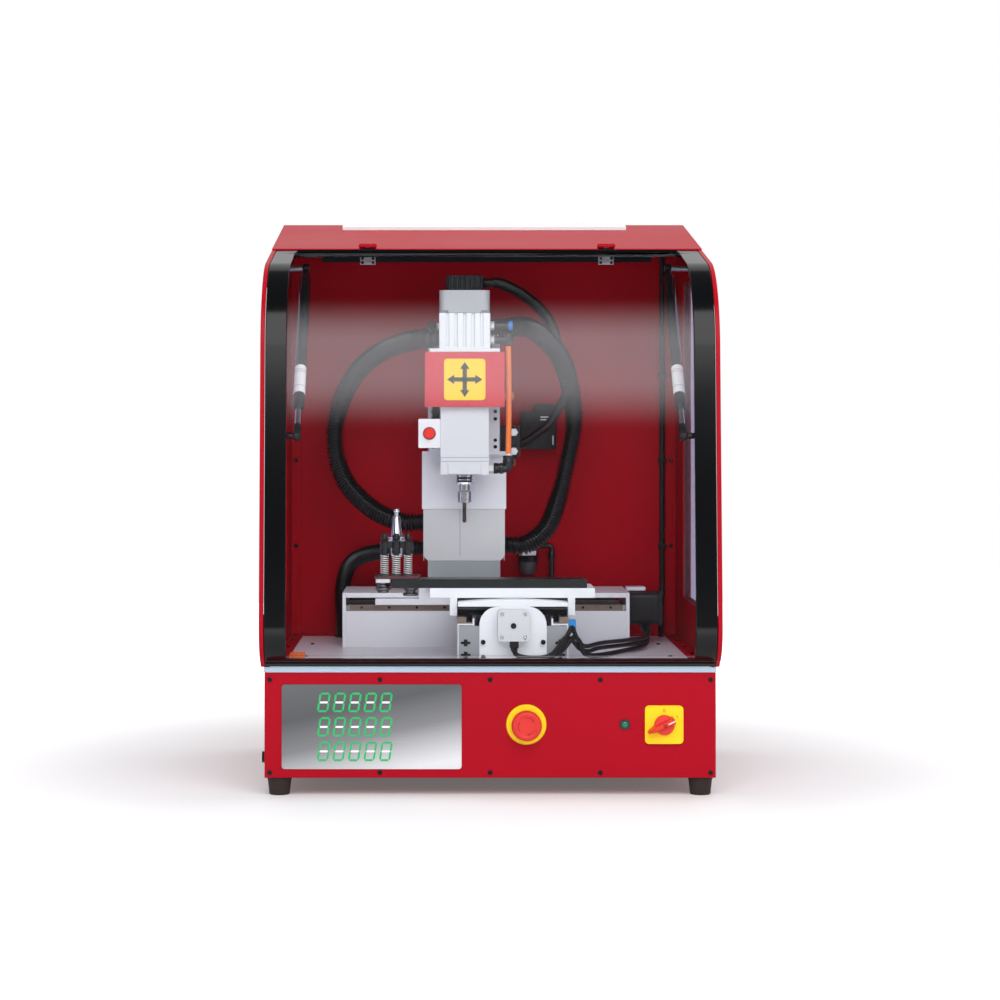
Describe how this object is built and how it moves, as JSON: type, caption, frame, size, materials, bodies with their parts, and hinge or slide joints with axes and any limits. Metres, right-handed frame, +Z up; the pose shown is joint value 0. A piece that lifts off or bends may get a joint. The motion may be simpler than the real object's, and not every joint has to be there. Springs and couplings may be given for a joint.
{
  "type": "desktop cnc milling machine",
  "caption": "Small milling machine in a sheet metal enclosure: cross carriage with column and spindle head, table on a linear unit, front display panel, and a clear door hinged at the top.",
  "frame": {"origin": "on the ground under the middle of the machine", "axes": "+Z up, front at -Y, width along X"},
  "size_m": [0.61, 0.5489, 0.798],
  "materials": {
    "red_paint": "satin red powder coat",
    "dark_red_paint": "orange-peel dark red coat",
    "foot_rubber": "matt moulded rubber",
    "black_steel": "black oxide",
    "display_face": "brushed grey face",
    "display_green": "bright green segments",
    "yellow_plastic": "moulded yellow",
    "grey_plastic": "moulded grey",
    "red_plastic": "moulded red",
    "lamp_green": "clear green lens in a dark ring",
    "deck_aluminium": "brushed plate",
    "window_tint": "clear tinted sheet",
    "white_metal": "white coat",
    "orange_plastic": "moulded orange",
    "grey_steel": "ground steel",
    "black_gloss": "gloss black",
    "clear_pane": "clear sheet",
    "strut_black": "black coat",
    "chromed_rod": "polished",
    "profile_aluminium": "anodised",
    "rail_steel": "oiled ground rails",
    "motor_black": "black coat",
    "motor_grey": "laminated steel",
    "screw_steel": "ground screws",
    "guard_grey": "brushed sheet",
    "cover_red": "gloss red",
    "white_plastic": "moulded white",
    "hose_black": "corrugated black hose",
    "black_plastic": "moulded black",
    "spring_steel": "bright wire"
  },
  "bodies": {
    "machine": {"base_housing": "red_paint", "front_panel": "red_paint", "feet": "foot_rubber", "black_screws": "black_steel", "display_plate": "display_face", "display_digits": "display_green", "estop_collar": "yellow_plastic", "signal_lamp": "lamp_green", "switch_plate": "yellow_plastic", "top_plate": "deck_aluminium", "side_panels": "red_paint", "side_liners": "dark_red_paint", "side_windows": "window_tint", "roof": "red_paint", "roof_panel": "white_metal", "rear_wall": "dark_red_paint", "interlock_block": "orange_plastic", "fixed_fittings": "grey_steel", "axis_profiles": "profile_aluminium", "guide_rails": "rail_steel", "unit_covers": "white_metal", "x_motor": "motor_black", "y_motor": "motor_grey", "floor_hose": "hose_black", "air_unit": "black_plastic", "cables": "hose_black"},
    "door": {"door_frame": "black_gloss", "door_pane": "clear_pane", "door_fittings": "grey_steel"},
    "left_cylinder": {"left_strut_cylinder": "strut_black"},
    "left_rod": {"left_strut_rod": "chromed_rod"},
    "right_cylinder": {"right_strut_cylinder": "strut_black"},
    "right_rod": {"right_strut_rod": "chromed_rod"},
    "stop_stem": {"estop_stem": "grey_plastic"},
    "stop_mushroom": {"estop_button": "red_plastic"},
    "main_switch": {"switch_handle": "red_plastic"},
    "cross_screw": {"x_screw": "screw_steel"},
    "table_screw": {"y_screw": "screw_steel"},
    "column_screw": {"z_screw": "screw_steel"},
    "carriage": {"x_carriage": "white_metal", "column": "guard_grey", "lower_guard": "guard_grey"},
    "sliding_guard": {"middle_guard": "guard_grey"},
    "head": {"head_slide": "white_metal", "spindle_housing": "white_metal", "head_cover": "cover_red", "head_badge": "yellow_plastic", "spindle_motor": "profile_aluminium", "top_motor": "motor_black", "button_box": "white_plastic", "air_tube": "orange_plastic", "head_hoses": "hose_black"},
    "push_button": {"head_button": "red_plastic"},
    "rotor": {"spindle": "chromed_rod"},
    "work_table": {"table": "white_metal", "clamp_bar": "black_steel", "tool_base": "profile_aluminium", "post_springs": "spring_steel"},
    "tool_carrier": {"sprung_posts": "black_plastic", "tool_holder": "chromed_rod"}
  },
  "joints": [
    {"name": "door_hinge", "type": "hinge", "parent": "machine", "child": "door", "pos_m": [0, -0.00866, 0.74654], "axis": [-1, 0, 0], "range_deg": [0, 65]},
    {"name": "left_strut_pivot", "type": "hinge", "parent": "machine", "child": "left_cylinder", "pos_m": [-0.257, 0.0025, 0.71515], "axis": [-1, 0, 0], "range_deg": [0, 64.7]},
    {"name": "left_strut_extension", "type": "slide", "parent": "left_cylinder", "child": "left_rod", "axis": [0, -0.7033, -0.7109], "range_m": [0, 0.036]},
    {"name": "right_strut_pivot", "type": "hinge", "parent": "machine", "child": "right_cylinder", "pos_m": [0.257, 0.0025, 0.71515], "axis": [-1, 0, 0], "range_deg": [0, 64.7]},
    {"name": "right_strut_extension", "type": "slide", "parent": "right_cylinder", "child": "right_rod", "axis": [0, -0.7033, -0.7109], "range_m": [0, 0.036]},
    {"name": "stop_press", "type": "slide", "parent": "machine", "child": "stop_stem", "axis": [0, 1, 0], "range_m": [0, 0.004]},
    {"name": "stop_twist", "type": "hinge", "parent": "stop_stem", "child": "stop_mushroom", "pos_m": [0.048, -0.2455, 0.095], "axis": [0, 1, 0], "range_deg": [0, 45], "stiffness_Nm_per_rad": 0.05},
    {"name": "main_switch_turn", "type": "hinge", "parent": "machine", "child": "main_switch", "pos_m": [0.231, -0.2455, 0.095], "axis": [0, 1, 0], "range_deg": [-65, 0]},
    {"name": "cross_slide", "type": "slide", "parent": "machine", "child": "carriage", "axis": [1, 0, 0], "range_m": [-0.02, 0.1], "deforming": ["floor_hose"]},
    {"name": "cross_screw_turn", "type": "hinge", "parent": "machine", "child": "cross_screw", "pos_m": [0, 0.1365, 0.2235], "axis": [1, 0, 0], "continuous": true},
    {"name": "table_slide", "type": "slide", "parent": "machine", "child": "work_table", "axis": [0, 1, 0], "range_m": [-0.015, 0.09]},
    {"name": "table_screw_turn", "type": "hinge", "parent": "machine", "child": "table_screw", "pos_m": [0.032, -0.0655, 0.2235], "axis": [0, 1, 0], "continuous": true},
    {"name": "head_slide_travel", "type": "slide", "parent": "carriage", "child": "head", "axis": [0, 0, 1], "range_m": [-0.065, 0.015], "deforming": ["head_hoses"]},
    {"name": "guard_travel", "type": "slide", "parent": "carriage", "child": "sliding_guard", "axis": [0, 0, 1], "range_m": [-0.033, 0.008]},
    {"name": "column_screw_turn", "type": "hinge", "parent": "carriage", "child": "column_screw", "pos_m": [-0.032, 0.0695, 0.45], "axis": [0, 0, 1], "continuous": true},
    {"name": "push_button_press", "type": "slide", "parent": "head", "child": "push_button", "axis": [0, 1, 0], "range_m": [0, 0.002], "stiffness_N_per_m": 400, "springref_m": -0.001},
    {"name": "spindle_turn", "type": "hinge", "parent": "head", "child": "rotor", "pos_m": [-0.032, -0.0135, 0.45], "axis": [0, 0, 1], "continuous": true},
    {"name": "tool_carrier_press", "type": "slide", "parent": "work_table", "child": "tool_carrier", "axis": [0, 0, -1], "range_m": [0, 0.006], "stiffness_N_per_m": 1200, "springref_m": -0.006, "deforming": ["post_springs"]}
  ],
  "couplings": [
    {"joint": "left_strut_pivot", "follows": "door_hinge", "ratio": 0.98991},
    {"joint": "right_strut_pivot", "follows": "door_hinge", "ratio": 0.98991},
    {"joint": "left_strut_extension", "follows": "door_hinge", "m_per_rad": 0.031355},
    {"joint": "right_strut_extension", "follows": "door_hinge", "m_per_rad": 0.031355},
    {"joint": "cross_screw_turn", "follows": "cross_slide", "rad_per_m": 628.32},
    {"joint": "table_screw_turn", "follows": "table_slide", "rad_per_m": 628.32},
    {"joint": "column_screw_turn", "follows": "head_slide_travel", "rad_per_m": 628.32},
    {"joint": "guard_travel", "follows": "head_slide_travel", "ratio": 0.5}
  ]
}
